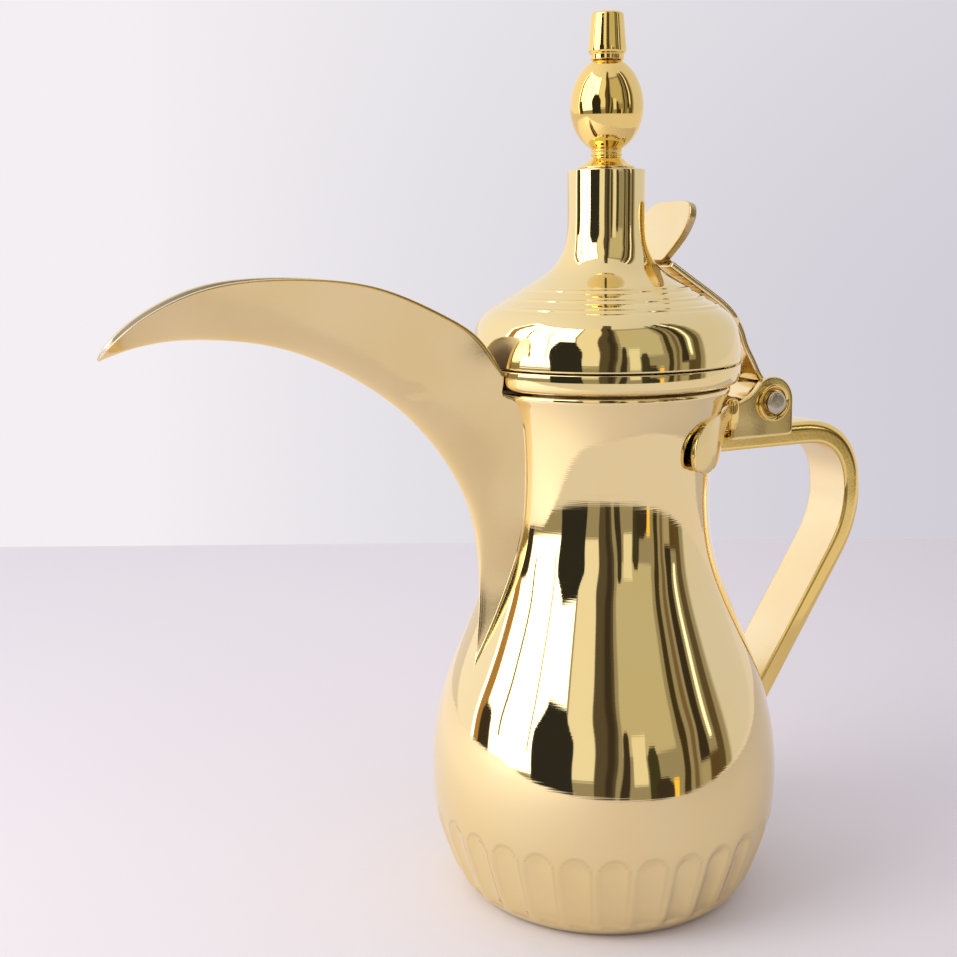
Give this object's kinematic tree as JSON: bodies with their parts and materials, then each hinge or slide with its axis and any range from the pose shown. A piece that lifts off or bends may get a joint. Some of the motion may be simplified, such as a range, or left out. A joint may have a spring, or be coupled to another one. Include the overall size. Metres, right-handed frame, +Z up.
{
  "type": "coffee pot",
  "caption": "Gold-plated dallah coffee pot with a waisted body, fluted foot, open crescent spout, hinged domed lid with a turned finial and a flat bar handle.",
  "frame": {"origin": "centre of the flat base, on the surface that the pot stands on", "axes": "+Z up along the body's axis, -X towards the spout, +X towards the handle; the XZ plane is the plane of symmetry"},
  "size_m": [0.258, 0.1128, 0.28],
  "materials": {
    "gold_plate": "mirror-polished pale gold plating",
    "deep_gold": "mirror-polished deeper gold plating",
    "steel": "bare bright steel"
  },
  "bodies": {
    "pot": {"body_shell": "gold_plate", "base_plate": "gold_plate", "spout_shell": "gold_plate", "handle_bar": "gold_plate", "hinge_bracket": "gold_plate", "hinge_pin": "steel", "pin_washer_near": "gold_plate", "pin_washer_far": "gold_plate"},
    "lid": {"lid_dome": "gold_plate", "lid_band": "gold_plate", "lid_collar": "gold_plate", "lid_strap": "gold_plate", "thumb_leaf": "gold_plate", "finial_foot": "deep_gold", "finial_egg": "deep_gold", "finial_tip": "deep_gold", "finial_stud": "steel", "stud_nut": "steel"}
  },
  "joints": [
    {"name": "lid_hinge", "type": "hinge", "parent": "pot", "child": "lid", "pos_m": [0.0575, 0, 0.1585], "axis": [0, 1, 0], "range_deg": [0, 125]}
  ]
}
